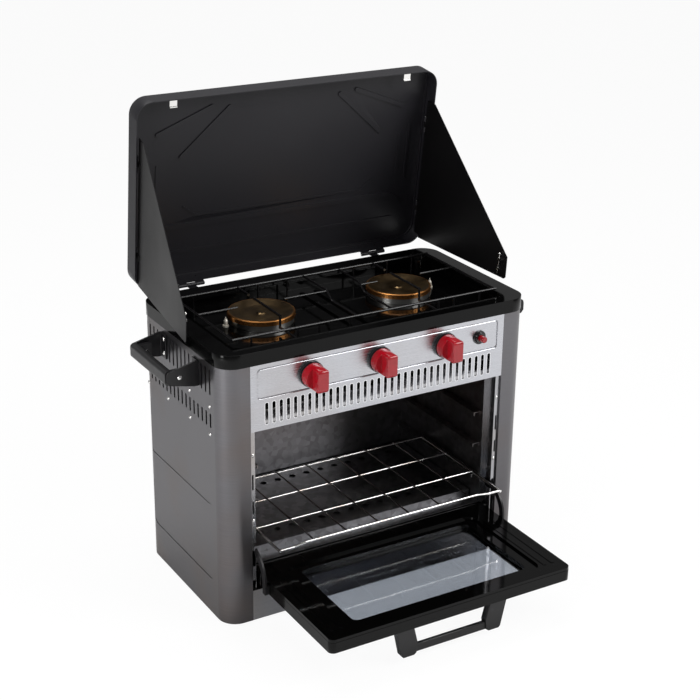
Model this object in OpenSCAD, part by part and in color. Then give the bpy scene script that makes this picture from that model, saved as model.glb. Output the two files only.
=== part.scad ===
// Two-burner camp oven with a tilting lid, side windscreens and a drop-down door.
// Front faces -Y, X runs to the right, Z is up. Origin: on the floor, in the middle of the whole outline.
// The modules are drawn about the middle of the body and moved back by set_back at the end.

/* [Body] */
// outside width of the body
body_width = 530; // [500:1:600]
// outside depth of the body
body_depth = 284; // [270:1:330]
// height of the cooktop rim above the floor
body_height = 440; // [430:1:480]
// thickness of the outer sheets
sheet = 1.5; // [1.2:0.1:2]
// radius of the upright corners
corner_radius = 29; // [22:1:34]
// width of the corner post seen from the front
post_width = 44; // [42:1:50]
// height of the rubber feet that show below the panels
foot_gap = 3; // [2:0.5:6]
// number of air slots in each row of a side panel
side_slots = 17; // [8:1:17]
// distance between side slots
side_slot_pitch = 13.9; // [12:0.1:14.2]

/* [Front] */
// height of the sill below the door
sill_height = 54; // [44:1:54]
// height of the control panel
panel_height = 103; // [98:1:104]
// number of slots under the knobs
front_slots = 34; // [12:1:34]
// distance between the slots under the knobs
front_slot_pitch = 11.8; // [11:0.1:12.3]

/* [Controls] */
// distance between knobs
knob_pitch = 116.5; // [90:0.5:124]
// shift of the knob row to the left
knob_shift = 5.5; // [0:0.5:10]
// diameter of a knob
knob_diameter = 38; // [32:1:42]
// depth of a knob
knob_depth = 31; // [22:1:34]
// depth that the igniter button goes in
button_stroke = 4; // [2:0.5:5]

/* [Cooktop] */
// height of the enamel rim band
rim_height = 21; // [18:0.5:24]
// distance of each burner from the middle
burner_offset = 123; // [110:1:128]
// diameter of a burner cap
burner_diameter = 104; // [80:1:106]
// diameter of the grate wire
grate_wire = 4; // [3:0.5:5]
// top of the grate above the cooktop rim
grate_rise = 9.5; // [7:0.5:10]

/* [Lid] */
// length of the lid from hinge edge to free edge
lid_length = 306; // [290:1:330]
// depth of the lid pan
lid_depth = 29; // [28:1:36]
// lean of the open lid towards the front
lid_lean = 7.4; // [2:0.1:9]
// angle by which the left windscreen stands outwards
left_splay = 8.5; // [0:0.5:10]

/* [Door] */
// width of the door
door_width = 420; // [400:1:421]
// length of the door in front of its hinge pins
door_reach = 233.5; // [215:0.5:234]
// thickness of the door
door_thickness = 22; // [21:0.5:24]
// how far the handle bar stands off the door
handle_standoff = 50; // [36:1:52]

/* [Rack] */
// width of the wire rack
rack_width = 400; // [380:1:402]
// depth of the wire rack
rack_depth = 232; // [200:1:236]
// how far the rack sticks out of the front
rack_out = 45; // [40:1:46]
// diameter of the rack border wire
rack_wire = 4.4; // [3:0.2:5]

/* [Hidden] */
eps = 0.01;
set_back = 81.2;        // brings the middle of the outline, open door included, over the origin
gap = 0.3;              // between neighbouring sheets
run_fit = 0.05;         // radial play of a turning pin
fine = 48;

half_w = body_width / 2;
half_d = body_depth / 2;
front_y = -half_d;
rim_z = body_height;
band_z = rim_z - rim_height;      // lower edge of the enamel band
wall_top = band_z - gap;
post_x = half_w - post_width;     // seam between post and front panels
foot_in = 34;
fold_w = 12;             // depth of the side panel's folded front edge
slot_y0 = -101;
slot_rows = [[317, 340], [369, 409]];
rivet_r = 1.8;
rivet_ys = [-98, -30, 49, 121];
rivet_zs = [306, 350];
bracket_y = 63;
bracket_t = 3;
screw_r = 2;
grip_x = half_w + 46;
bracket_bolts = [380, 402];

// control panel
panel_top = wall_top;
panel_low = panel_top - panel_height;
knob_z = panel_low + 73;
panel_in = 12;
emboss_low = panel_low + 50;
emboss_top = panel_top - 7.5;
slot_low = panel_low + 8.5;
slot_top = emboss_low - 7.5;
slot_w = 5.4;
knob_xs = [-knob_shift - knob_pitch, -knob_shift, -knob_shift + knob_pitch];
igniter_x = 175;
stem_r = 3;
stem_hole = 5;
bezel_r = knob_diameter / 2 + 1;
bezel_t = 6;
knob_front_gap = 1;
face_y = front_y + 0.5;
button_r = 5;
valve_y = front_y + 30;
inlet_z = 360;
inlet_r = 7;
pipe_r = 6;

// door
jamb_x = door_width / 2 + 3;      // half width of the opening between the jambs
pin_y = front_y + 17.75;
pin_z = 78.75;
door_low = pin_z - 17.75;         // outer face while the door is open
door_top = door_low + door_thickness;
door_rear = pin_y + 17;
door_front = pin_y - door_reach;
door_wall = 1.5;
hinge_pin_r = 3;
window_half = 152;
window_rear = pin_y - 38;
window_front = door_front + 34;
arm_out = 51;
arm_in = 41;
arm_t = 3;
arm_x = jamb_x + 1.2;
arm_start = 112;
handle_y = door_front + 13;
glass_t = 3;

// oven liner
liner_x = 207;
liner_t = 1;
liner_front = pin_y + 7.25;
liner_back = half_d - 18;
liner_low = door_top + 2.5;
liner_top = panel_low - 6;
frame_rivet_zs = [170, 277];
frame_slots = [[182, 202], [221, 246]];
diffuser_z = liner_low + 10;

// rack
rack_z = 137;
rack_r = rack_wire / 2;
rack_front = front_y - rack_out;
rack_cross = 2.6;
rack_step = 3.5;
ledge_zs = [rack_z - rack_r, rack_z - rack_r + 55, rack_z - rack_r + 110];

// cooktop
well_x = half_w - 31;
well_front = front_y + 22;
well_back = half_d - 26;
well_z = rim_z - 20;
cook_t = 1.4;
burner_y = 12;
bowl_hole = burner_diameter / 2 - 10;
bowl_flange = 8.3;        // height of the burner's base ring above the well
cap_z = well_z + gap + bowl_flange;
cap_h = rim_z - 3 - cap_z;
electrode_gap = 8;
tube_r = 8;
ports = 44;
grate_x = 228;
grate_front = front_y + 38;
grate_back = half_d - 50;
grate_z = rim_z + grate_rise - grate_wire / 2;
grate_legs = [-199, -87, -35, 87, 151, 199];

// lid: points are given along the lid (u) and through its depth (v)
lid_y = half_d + 24.6;
lid_z = rim_z + 1.8;
lid_half = half_w - 1;
lid_wall = 1.5;
lid_pin_u = -4.2;
lid_pin_v = -2;
barrel_r = 3.2;
lid_pin_r = 1.5;
leaf_t = 1.2;
hinge_w = 44;
hinge_x = 168;
lid_pin_y = lid_y - lid_pin_u * sin(lid_lean) + lid_pin_v * cos(lid_lean);
lid_pin_z = lid_z + lid_pin_u * cos(lid_lean) + lid_pin_v * sin(lid_lean);

// windscreens
ws_t = 1;
ws_pin_x = lid_half - lid_wall - 4.6;
ws_left_v = 6;
ws_right_v = 13;
ws_low = 7;
ws_top = 251;
ws_barrel = 2.6;
ws_pin = 1.2;
ws_hinge_h = 26;
ws_hinges = [46, 196];

module rounded_rect(w, h, r) {
    square([w - 2 * r, h], center = true);
    square([w, h - 2 * r], center = true);
    for (sx = [-1, 1], sy = [-1, 1])
        translate([sx * (w / 2 - r), sy * (h / 2 - r)]) circle(r = r, $fn = fine);
}

// box from corner to corner
module block(a, b) {
    translate(a) cube([b[0] - a[0], b[1] - a[1], b[2] - a[2]]);
}

module rod_x(x0, x1, y, z, r) {
    translate([x0, y, z]) rotate([0, 90, 0]) cylinder(r = r, h = x1 - x0, $fn = fine);
}

module rod_y(x, y0, y1, z, r) {
    translate([x, y0, z]) rotate([-90, 0, 0]) cylinder(r = r, h = y1 - y0, $fn = fine);
}

module rod_z(x, y, z0, z1, r) {
    translate([x, y, z0]) cylinder(r = r, h = z1 - z0, $fn = fine);
}

// straight wire between two points
module wire(a, b, r) {
    d = b - a;
    translate(a) rotate([0, acos(d[2] / norm(d)), atan2(d[1], d[0])]) cylinder(r = r, h = norm(d), $fn = 24);
}

// weld bead that covers a kink between two wires
module bead(p, r) {
    translate(p) sphere(r = r + 0.3, $fn = 24);
}

// flat plate standing in the YZ plane
module plate_yz(x0, x1) {
    translate([x0, 0, 0]) rotate([90, 0, 90]) linear_extrude(x1 - x0) children();
}

// flat plate standing in the XZ plane, drawn as seen from the front
module plate_xz(y0, y1) {
    translate([0, y1, 0]) rotate([90, 0, 0]) linear_extrude(y1 - y0) children();
}

// upright slot with round ends
module slot_2d(x, z0, z1, w) {
    translate([x - w / 2, z0 + w / 2]) square([w, z1 - z0 - w]);
    translate([x, z0 + w / 2]) circle(r = w / 2, $fn = 24);
    translate([x, z1 - w / 2]) circle(r = w / 2, $fn = 24);
}

// places things drawn in lid coordinates: X across, Y through the depth, Z along the lid
module on_lid() {
    translate([0, lid_y, lid_z]) rotate([lid_lean, 0, 0]) children();
}

// moves a piece from the middle of the body to its place over the origin
module placed() {
    translate([0, set_back, 0]) children();
}

// body

module side_outline() {
    difference() {
        rounded_rect(body_width, body_depth, corner_radius);
        rounded_rect(body_width - 2 * sheet, body_depth - 2 * sheet, corner_radius - sheet);
        translate([-post_x, -half_d - 1]) square([half_w + post_x + 1, body_depth + 2]);
    }
    // the sheet folds back into the body along the door opening
    translate([-post_x - sheet, front_y + eps]) square([sheet, fold_w]);
}

module side_cuts() {
    plate_yz(-half_w - 1, -half_w + sheet + 1)
        for (i = [0 : side_slots - 1], row = slot_rows)
            slot_2d(slot_y0 + i * side_slot_pitch, row[0] * body_height / 440,
                row[1] * body_height / 440, 4.8);
    // two large pressed fields
    plate_yz(-half_w - 1, -half_w + 0.6)
        translate([11, 236 * body_height / 440]) rounded_rect(228, 94, 16);
    plate_yz(-half_w - 1, -half_w + 0.6)
        translate([9.5, 102 * body_height / 440]) rounded_rect(225, 80, 16);
}

module side_shell() {
    difference() {
        translate([0, 0, foot_gap]) linear_extrude(wall_top - foot_gap) side_outline();
        side_cuts();
        for (y = rivet_ys, z = rivet_zs) rod_x(-half_w - 1, -half_w + sheet + 1, y, z, rivet_r);
        for (sy = [-1, 1], z = bracket_bolts)
            rod_x(-half_w - 1, -half_w + sheet + 1, sy * (bracket_y - 9), z, screw_r);
    }
}

module left_side_panel() {
    color("#8d8f93") side_shell();
}

module right_side_panel() {
    color("#8d8f93") mirror([1, 0, 0]) side_shell();
}

module back_panel() {
    color("#7c7e82") difference() {
        plate_xz(half_d - sheet, half_d)
            translate([0, (wall_top + foot_gap) / 2])
                square([2 * (post_x - gap), wall_top - foot_gap], center = true);
        plate_xz(half_d - sheet - 1, half_d + 1)
            for (i = [-10 : 10], z = [60, 330])
                slot_2d(i * 15, z, z + 34, 5);
        rod_y(150, half_d - sheet - 1, half_d + 1, inlet_z, inlet_r + 1);
    }
}

module base_pan() {
    color("#6d6f73") difference() {
        union() {
            translate([0, 0, foot_gap + gap])
                linear_extrude(sheet)
                    rounded_rect(body_width - 2 * sheet - 2 * gap, body_depth - 2 * sheet - 2 * gap,
                        corner_radius - sheet - gap);
            translate([0, 0, foot_gap + gap])
                linear_extrude(14) difference() {
                    rounded_rect(body_width - 2 * sheet - 2 * gap, body_depth - 2 * sheet - 2 * gap,
                        corner_radius - sheet - gap);
                    rounded_rect(body_width - 4 * sheet - 2 * gap, body_depth - 4 * sheet - 2 * gap,
                        corner_radius - 2 * sheet - gap);
                    translate([0, -half_d]) square([2 * post_x + 4, 60], center = true);
                }
        }
        for (sx = [-1, 1], sy = [-1, 1])
            rod_z(sx * (half_w - foot_in), sy * (half_d - foot_in), 0, 8, 4);
        // notches for the folded edges of the side panels
        for (s = [-1, 1])
            block([s * (post_x + sheet / 2) - sheet, front_y, 0], [s * (post_x + sheet / 2) + sheet, front_y + fold_w + gap, 20]);
    }
}

module rubber_feet() {
    color("#1a1a1a") for (sx = [-1, 1], sy = [-1, 1]) translate([sx * (half_w - foot_in), sy * (half_d - foot_in), 0]) {
        cylinder(r = 11, h = foot_gap + gap - eps, $fn = fine);
        cylinder(r = 4 - eps, h = foot_gap + gap + sheet + eps, $fn = fine);
        translate([0, 0, foot_gap + gap + sheet + eps]) cylinder(r = 6.5, h = 2.5, $fn = fine);
    }
}

module front_sill() {
    color("#9a9ca0") union() {
        block([-post_x + gap, front_y, foot_gap + 0.2], [post_x - gap, front_y + sheet, sill_height]);
        block([-post_x + sheet + 3 * gap, front_y + eps, sill_height - sheet],
            [post_x - sheet - 3 * gap, front_y + 40, sill_height]);
        block([-post_x + sheet + 3 * gap, front_y + 40 - sheet, sill_height - 14],
            [post_x - sheet - 3 * gap, front_y + 40, sill_height]);
    }
}

// steel frame set back behind the posts: strips, jambs and the slots for the door arms
module oven_front_frame() {
    fy = front_y + 3.5;
    color("#a2a4a8") difference() {
        union() {
            for (s = [-1, 1]) {
                block([min(s * jamb_x, s * (post_x - gap)), fy, sill_height + gap],
                    [max(s * jamb_x, s * (post_x - gap)), fy + liner_t, panel_low + 20]);
                block([min(s * jamb_x, s * (jamb_x + liner_t)), fy, sill_height + gap],
                    [max(s * jamb_x, s * (jamb_x + liner_t)), liner_front - gap, panel_low + 20]);
                block([min(s * (liner_x - 0.5), s * (jamb_x + liner_t)), liner_front - liner_t - gap, liner_low],
                    [max(s * (liner_x - 0.5), s * (jamb_x + liner_t)), liner_front - gap, panel_low - 2]);
            }
            block([-jamb_x, liner_front - liner_t - gap, panel_low - 5], [jamb_x, liner_front - gap, panel_low + 20]);
        }
        for (s = [-1, 1]) {
            // slots that the door arms pass through
            block([min(s * (jamb_x + liner_t + 0.1), s * (jamb_x + 6.2)), fy - 1, 56],
                [max(s * (jamb_x + liner_t + 0.1), s * (jamb_x + 6.2)), fy + 2, pin_z + arm_out + 4]);
            rod_x(s > 0 ? jamb_x - 1 : -jamb_x - 4, s > 0 ? jamb_x + 4 : -jamb_x + 1, pin_y, pin_z, hinge_pin_r + 0.2);
            // notch in the jamb for the foot of the arm while the door is shut
            block([min(s * (jamb_x - 0.1), s * (jamb_x + liner_t + 0.2)), fy - 1, pin_z + arm_in - 3.5],
                [max(s * (jamb_x - 0.1), s * (jamb_x + liner_t + 0.2)), pin_y + 1, pin_z + arm_out + 1.5]);
            for (z = frame_rivet_zs)
                rod_y(s * (jamb_x + 3.6), fy - 1, fy + 3, z, 1.6);
            for (z = frame_slots)
                block([s * (jamb_x + 4) - 1.3, fy - 1, z[0]], [s * (jamb_x + 4) + 1.3, fy + 2, z[1]]);
        }
    }
}

module frame_rivets() {
    fy = front_y + 3.5;
    color("#c8c8c8") for (s = [-1, 1], z = frame_rivet_zs) {
        rod_y(s * (jamb_x + 3.6), fy - eps, fy + 2, z, 1.6 - eps);
        translate([s * (jamb_x + 3.6), fy - eps, z]) rotate([90, 0, 0]) dome(2.8, 1.3);
    }
}

// round rivet head, flat side down
module dome(r, h) {
    big = (r * r + h * h) / (2 * h);
    intersection() {
        translate([0, 0, h - big]) sphere(r = big, $fn = fine);
        cylinder(r = r, h = h, $fn = fine);
    }
}

module side_rivets() {
    color("#c9c9c9") for (s = [-1, 1], y = rivet_ys, z = rivet_zs) {
        rod_x(s > 0 ? half_w - sheet - 1 : -half_w - eps, s > 0 ? half_w + eps : -half_w + sheet + 1, y, z, rivet_r - eps);
        translate([s * half_w, y, z]) rotate([0, s * 90, 0]) dome(3, 1.4);
    }
}

// control panel

module control_panel() {
    color("#b4b5b8") difference() {
        union() {
            block([-post_x + gap, front_y, panel_low], [post_x - gap, front_y + sheet, panel_top]);
            block([-jamb_x + gap, front_y + eps, panel_low], [jamb_x - gap, front_y + 17, panel_low + sheet]);
            block([-post_x + sheet, front_y + eps, panel_top - sheet], [post_x - sheet, front_y + 14, panel_top]);
        }
        // shallow pressed field with the knobs
        plate_xz(front_y - 1, front_y + 0.5)
            translate([0, (emboss_low + emboss_top) / 2])
                rounded_rect(2 * (post_x - panel_in), emboss_top - emboss_low, 5);
        plate_xz(front_y - 1, front_y + sheet + 1)
            for (i = [0 : front_slots - 1])
                slot_2d((i - (front_slots - 1) / 2) * front_slot_pitch, slot_low, slot_top, slot_w);
        for (x = knob_xs) rod_y(x, front_y - 1, front_y + sheet + 1, knob_z, stem_hole);
        rod_y(igniter_x, front_y - 1, front_y + sheet + 1, knob_z, 8);
    }
}

module knob_bezels() {
    color("#151515") for (x = knob_xs) translate([x, face_y - eps, knob_z]) rotate([90, 0, 0]) difference() {
        union() {
            cylinder(r = bezel_r, h = bezel_t - 1, $fn = 64);
            cylinder(r1 = bezel_r, r2 = bezel_r - 1.5, h = bezel_t, $fn = 64);
        }
        translate([0, 0, -1]) cylinder(r = stem_hole, h = bezel_t + 2, $fn = fine);
        translate([0, 0, 1.6]) cylinder(r = bezel_r - 3, h = bezel_t, $fn = 64);
    }
}

module knob(x) {
    base_y = face_y - bezel_t - knob_front_gap;
    color("#c4122c") translate([x, base_y, knob_z]) rotate([90, 0, 0]) difference() {
        union() {
            cylinder(r1 = knob_diameter / 2, r2 = knob_diameter / 2 - 1.2, h = knob_depth * 0.44, $fn = 64);
            // grip bar across the full width
            intersection() {
                cylinder(r = knob_diameter / 2 - 0.8, h = knob_depth, $fn = 64);
                translate([-8.5, -knob_diameter / 2, 0]) cube([17, knob_diameter, knob_depth]);
                translate([0, 0, knob_depth - 40]) rotate([90, 0, 90])
                    linear_extrude(60, center = true) translate([0, 20]) rounded_rect(knob_diameter - 1, 40, 6);
            }
        }
        translate([0, 0, -1]) cylinder(r = stem_r + 0.02, h = 15, $fn = fine);
        // hollow behind the skirt
        translate([0, 0, -1]) difference() {
            cylinder(r = knob_diameter / 2 - 2.5, h = 5, $fn = 64);
            cylinder(r = 6, h = 6, $fn = fine);
        }
    }
}

module stem(x) {
    base_y = face_y - bezel_t - knob_front_gap;
    color("#c9b27a") rod_y(x, base_y - 12, valve_y - 8 + eps, knob_z, stem_r);
}

module igniter_bezel() {
    color("#161616") translate([igniter_x, face_y - eps, knob_z]) rotate([90, 0, 0]) difference() {
        union() {
            cylinder(r = 11, h = 2, $fn = fine);
            cylinder(r1 = 9.5, r2 = 8, h = 5, $fn = fine);
            translate([0, 0, -14]) cylinder(r = 8 - 0.1, h = 15, $fn = fine);
        }
        translate([0, 0, -11]) cylinder(r = button_r + run_fit, h = 20, $fn = fine);
        translate([0, 0, -15]) cylinder(r = 2, h = 20, $fn = fine);
    }
}

module igniter_button() {
    color("#c4122c") translate([igniter_x, face_y, knob_z]) rotate([90, 0, 0]) {
        translate([0, 0, -11 + button_stroke + 1.5]) cylinder(r = button_r, h = 14.5 + 11 - button_stroke - 1.5, $fn = fine);
        translate([0, 0, 14.5 - eps]) cylinder(r1 = button_r, r2 = button_r - 1, h = 1.5, $fn = fine);
    }
}

module igniter_body() {
    color("#2a2a2a") {
        rod_y(igniter_x, face_y + 14 + gap, valve_y + 20 - pipe_r - gap, knob_z, 7);
    }
}

// gas

module valve_bodies() {
    color("#c0a868") for (x = knob_xs) {
        difference() {
            union() {
                rod_y(x, valve_y - 14, valve_y - 4, knob_z, 8);
                block([x - 10, valve_y - 4 - eps, knob_z - 10], [x + 10, valve_y + 13, knob_z + 10]);
            }
            rod_y(x, valve_y - 20, valve_y - 6, knob_z, stem_r + run_fit);
        }
    }
}

module gas_manifold() {
    color("#b5b5b0") difference() {
        union() {
            rod_x(knob_xs[0] - 30, 190, valve_y + 20, knob_z, pipe_r);
            rod_y(190, valve_y + 20, half_d - 24, knob_z, pipe_r);
            translate([190, valve_y + 20, knob_z]) sphere(r = pipe_r + 0.6, $fn = fine);
            rod_z(190, half_d - 24, inlet_z, knob_z, pipe_r);
            translate([190, half_d - 24, knob_z]) sphere(r = pipe_r + 0.6, $fn = fine);
            rod_x(150, 190, half_d - 24, inlet_z, pipe_r);
            translate([190, half_d - 24, inlet_z]) sphere(r = pipe_r + 0.6, $fn = fine);
            translate([150, half_d - 24, inlet_z]) sphere(r = pipe_r + 0.6, $fn = fine);
        }
        for (x = knob_xs) block([x - 10.2, valve_y - 4, knob_z - 10.2], [x + 10.2, valve_y + 13 + gap, knob_z + 10.2]);
    }
}

module gas_inlet() {
    color("#c8ad62") difference() {
        union() {
            rod_y(150, half_d - 24 + pipe_r - 1, half_d + 8, inlet_z, inlet_r);
            rod_y(150, half_d + 1, half_d + 5, inlet_z, inlet_r + 4);
        }
        rod_y(150, half_d - 24 + pipe_r + 2, half_d + 12, inlet_z, 4.5);
        rod_y(150, half_d - 30, half_d - 24 + pipe_r + 0.1, inlet_z, pipe_r + 0.1);
        rod_x(130, 170, half_d - 24, inlet_z, pipe_r + 0.05);
    }
}

// oven

module oven_liner() {
    color("#8a8a8c") difference() {
        block([-liner_x - liner_t, liner_front, liner_low - liner_t], [liner_x + liner_t, liner_back, liner_top]);
        block([-liner_x, liner_front - 1, liner_low], [liner_x, liner_back - liner_t, liner_top - liner_t]);
        // air holes in the floor under the diffuser plate
        for (s = [-1, 1]) block([min(s * 150, s * 60), -50, liner_low - 5], [max(s * 150, s * 60), 60, liner_low + 1]);
    }
}

// pressed ledges that carry the rack at three heights

module rack_ledges() {
    color("#97979a") for (s = [-1, 1], z = ledge_zs)
        difference() {
            block([min(s * (liner_x - gap), s * (liner_x - 13)), liner_front + 6, z - 6],
                [max(s * (liner_x - gap), s * (liner_x - 13)), liner_back - 12, z - 0.2]);
            block([min(s * (liner_x - gap), s * (liner_x - 11.5)), liner_front, z - 10],
                [max(s * (liner_x - 1.8), s * (liner_x - 11.5)), liner_back, z - 1.6]);
        }
}

module oven_floor_plate() {
    color("#9b9ca0") difference() {
        union() {
            block([-liner_x + 2, liner_front + 26, diffuser_z], [liner_x - 2, liner_back - 4, diffuser_z + 1]);
            block([-liner_x + 2, liner_front + 26, liner_low + 0.2], [liner_x - 2, liner_front + 27, diffuser_z + 1]);
            block([-liner_x + 2, liner_back - 5, liner_low + 0.2], [liner_x - 2, liner_back - 4, diffuser_z + 1]);
        }
        for (i = [-6 : 6], y = [liner_front + 60, liner_back - 32])
            rod_z(i * 27, y, diffuser_z - 1, diffuser_z + 2, 5.5);
    }
}

module oven_burner() {
    color("#a9a9a6") difference() {
        union() {
            for (s = [-1, 1]) rod_y(s * 100, -68, 78, 66, 8);
            for (y = [-60, 70]) rod_x(-100, 100, y, 66, 6.5);
            block([-4, 62, foot_gap + gap + sheet], [4, 78, 66]);
        }
        for (s = [-1, 1], i = [0 : 8])
            rod_z(s * 100, -44 + i * 12, 66, 80, 1.2);
    }
}

// rack

module oven_rack() {
    rx = rack_width / 2 - rack_r;
    y0 = rack_front + rack_r;
    y1 = rack_front + rack_depth - rack_r;
    r = rack_cross / 2;
    thin = rack_r - 0.3;
    z = rack_z + 0.3;             // end wires sit a little above the side wires
    color("#c9cacd") union() {
        for (s = [-1, 1]) {
            rod_y(s * rx, y0 - rack_r, y1 + rack_r, rack_z, rack_r);
            // front wire: low at the corner, then stepped up
            wire([s * rx, y0, z], [s * (rx - 25), y0, z], thin);
            wire([s * (rx - 23), y0, z], [s * (rx - 45), y0, rack_z + rack_step], thin - 0.12);
        }
        rod_x(-rx + 43, rx - 43, y0, rack_z + rack_step, thin);
        rod_x(-rx, rx, y1, z, thin);
        for (x = [-140, -84, -28, 28, 84, 140])
            wire([x, y0 + 0.4, rack_z + rack_step + 0.3], [x, y1 + 0.6, z + thin + 0.4], r);
        for (y = [y0 + 76, y0 + 152])
            rod_x(-rx, rx, y, rack_z + 1.4, r);
    }
}

// cooktop

module cooktop() {
    color("#141414") difference() {
        union() {
            difference() {
                translate([0, 0, band_z]) linear_extrude(rim_z - band_z)
                    rounded_rect(body_width + 2, body_depth + 2, corner_radius + 1);
                translate([0, 0, band_z - 1]) linear_extrude(rim_z - band_z + 1 - cook_t)
                    rounded_rect(body_width + 2 - 2 * cook_t, body_depth + 2 - 2 * cook_t, corner_radius + 1 - cook_t);
                translate([0, (well_front + well_back) / 2, rim_z - 8]) linear_extrude(14)
                    rounded_rect(2 * well_x, well_back - well_front, 18);
            }
            // sloped walls of the recessed well, floor and centre rib
            translate([0, (well_front + well_back) / 2, 0]) difference() {
                translate([0, 0, well_z - cook_t]) linear_extrude(rim_z - well_z + cook_t)
                    rounded_rect(2 * well_x + 2 * cook_t, well_back - well_front + 2 * cook_t, 18 + cook_t);
                translate([0, 0, rim_z - 7]) linear_extrude(12) rounded_rect(2 * well_x, well_back - well_front, 18);
                translate([0, 0, well_z]) linear_extrude(rim_z - well_z) rounded_rect(2 * well_x - 14, well_back - well_front - 14, 13);
            }
            translate([-16, well_front + 30, well_z - cook_t]) cube([6, well_back - well_front - 60, cook_t + 3]);
            translate([10, well_front + 30, well_z - cook_t]) cube([6, well_back - well_front - 60, cook_t + 3]);
        }
        for (s = [-1, 1]) {
            rod_z(s * burner_offset, burner_y, well_z - 20, rim_z + 10, bowl_hole);
            rod_z(s * (burner_offset + burner_diameter / 2 + electrode_gap), burner_y, well_z - 20, well_z + 8, 3.4);
        }
    }
}

module burner_bowls() {
    color("#b9b9b4") for (s = [-1, 1]) translate([s * burner_offset, burner_y, 0]) {
        difference() {
            union() {
                translate([0, 0, well_z - 26]) cylinder(r1 = 16, r2 = bowl_hole - 1, h = 22, $fn = 64);
                translate([0, 0, well_z - 4 - eps]) cylinder(r = bowl_hole - 0.6, h = cap_z - well_z + 4 - gap, $fn = 64);
                translate([0, 0, well_z + gap]) cylinder(r = burner_diameter / 2 - 2, h = bowl_flange, $fn = 96);
            }
            translate([0, 0, well_z - 18]) cylinder(r1 = 13, r2 = bowl_hole - 4, h = 18, $fn = 64);
            translate([0, 0, well_z - eps]) cylinder(r = bowl_hole - 4, h = 30, $fn = 64);
            // mouth of the mixing tube
            rod_y(0, -60, 0, well_z - 15, tube_r + 0.1);
        }
    }
}

module burner_tubes() {
    color("#a8a8a4") for (s = [-1, 1]) difference() {
        union() {
            rod_y(s * burner_offset, valve_y + 30, burner_y - 12, well_z - 15, tube_r);
            rod_y(s * burner_offset, valve_y + 30, valve_y + 40, well_z - 15, tube_r + 3);
        }
        rod_y(s * burner_offset, valve_y + 28, burner_y + 10, well_z - 15, tube_r - 1.5);
    }
}

module burner_caps() {
    r = burner_diameter / 2;
    color("#8a6a3c") for (s = [-1, 1]) translate([s * burner_offset, burner_y, cap_z]) difference() {
        rotate_extrude($fn = 96)
            polygon([[0, 0.8], [r - 11, 0.8], [r - 9, 0], [r - 3, 0], [r - 3, 0.6], [r, 0.6],
                [r, cap_h - 1.2], [r - 1.2, cap_h], [r - 3.4, cap_h], [r - 20, cap_h - 4], [r - 26, cap_h - 4.6],
                [8, cap_h - 4.6], [6, cap_h - 3], [0, cap_h - 3]]);
        // ring of flame ports
        for (i = [0 : ports - 1])
            rotate([0, 0, i * 360 / ports]) translate([r - 6, 0, cap_h - 4.4]) rotate([0, 90, 0])
                cylinder(r = 1, h = 8, $fn = 16);
    }
}

module electrodes() {
    color("#f2efe8") for (s = [-1, 1]) translate([s * (burner_offset + burner_diameter / 2 + electrode_gap), burner_y, 0]) {
        translate([0, 0, well_z - 16]) cylinder(r = 3.2, h = 26, $fn = fine);
        translate([0, 0, well_z + gap]) cylinder(r = 4.6, h = 3, $fn = fine);
        translate([0, 0, well_z + 10 - eps]) cylinder(r1 = 3.2, r2 = 1.6, h = 3, $fn = fine);
        translate([0, 0, well_z + 12]) cylinder(r = 0.8, h = 4, $fn = 24);
    }
}

// grate

// wire bent through a row of points in the plane of the grate top
module bent_wire(points, r) {
    for (i = [0 : len(points) - 2]) wire([points[i][0], points[i][1], grate_z], [points[i + 1][0], points[i + 1][1], grate_z], r);
    for (i = [1 : len(points) - 2]) bead([points[i][0], points[i][1], grate_z], r);
}

module grate() {
    r = grate_wire / 2;
    thin = r - 0.15;
    low = well_z + 9;
    color("#1b1b1b") union() {
        for (y = [grate_front, grate_back]) rod_x(-grate_x - thin, grate_x + thin, y, grate_z, r);
        for (s = [-1, 1]) rod_y(s * grate_x, grate_front, grate_back, grate_z - 0.4, thin);
        // legs that stand in the well
        for (y = [grate_front, grate_back], x = grate_legs) rod_z(x, y, well_z + 0.1, grate_z, r * 0.8);
        // kinked wires between the burners
        bent_wire([[39, grate_front], [40, -21], [57, 25], [59, grate_back]], thin - 0.1);
        bent_wire([[-23, grate_front], [-24, -31], [-7, 15], [-7, grate_back]], thin - 0.1);
        for (s = [-1, 1]) translate([s * burner_offset, 0, 0]) {
            // front finger: bar over the cap, drop in front of it, low wire to the front rail
            rod_y(0, burner_y - 62, burner_y + 25, grate_z, r);
            rod_z(0, burner_y - 61, low - thin, grate_z, thin);
            rod_y(0, grate_front, burner_y - 61, low, thin - 0.1);
            rod_z(0, grate_front, low, grate_z, thin - 0.2);
            // rear and side fingers
            rod_y(0, burner_y + 42, grate_back, grate_z, r - 0.05);
            rod_x(s > 0 ? 40 : -grate_x + burner_offset, s > 0 ? grate_x - burner_offset : -40, burner_y, grate_z, thin - 0.05);
        }
        // inner fingers reach in from the kinked wires
        rod_x(52, burner_offset - 40, burner_y, grate_z, thin - 0.25);
        rod_x(-burner_offset + 40, -8, burner_y, grate_z, thin - 0.25);
    }
}

// side handles

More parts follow.
